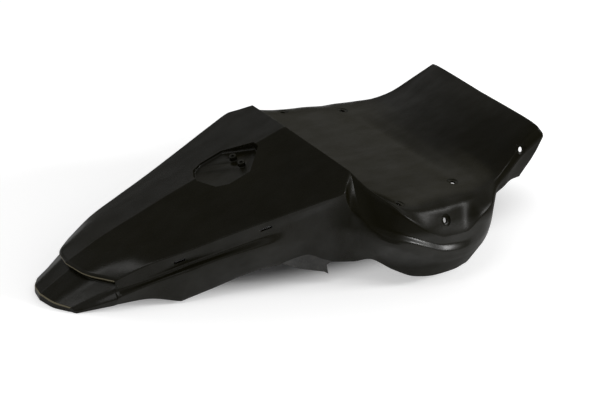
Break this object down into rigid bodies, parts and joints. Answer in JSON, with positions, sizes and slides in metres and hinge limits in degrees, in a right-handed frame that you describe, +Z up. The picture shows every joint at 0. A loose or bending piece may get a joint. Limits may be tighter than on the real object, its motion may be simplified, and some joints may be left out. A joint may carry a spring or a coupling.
{
  "type": "racing motorcycle seat unit",
  "caption": "One-piece moulded seat unit: faceted tail hump with a lip, dished deck, flared side wings and a raised nose, open underneath.",
  "frame": {"origin": "middle of the moulding's footprint, on the floor it stands on", "axes": "+X forward to the nose, +Y to the rider's left, +Z up"},
  "size_m": [0.7706, 0.4014, 0.194],
  "materials": {
    "black_gelcoat": "semi-gloss black gelcoat over glass-fibre laminate"
  },
  "bodies": {
    "root": {"seat_shell": "black_gelcoat"}
  },
  "joints": []
}
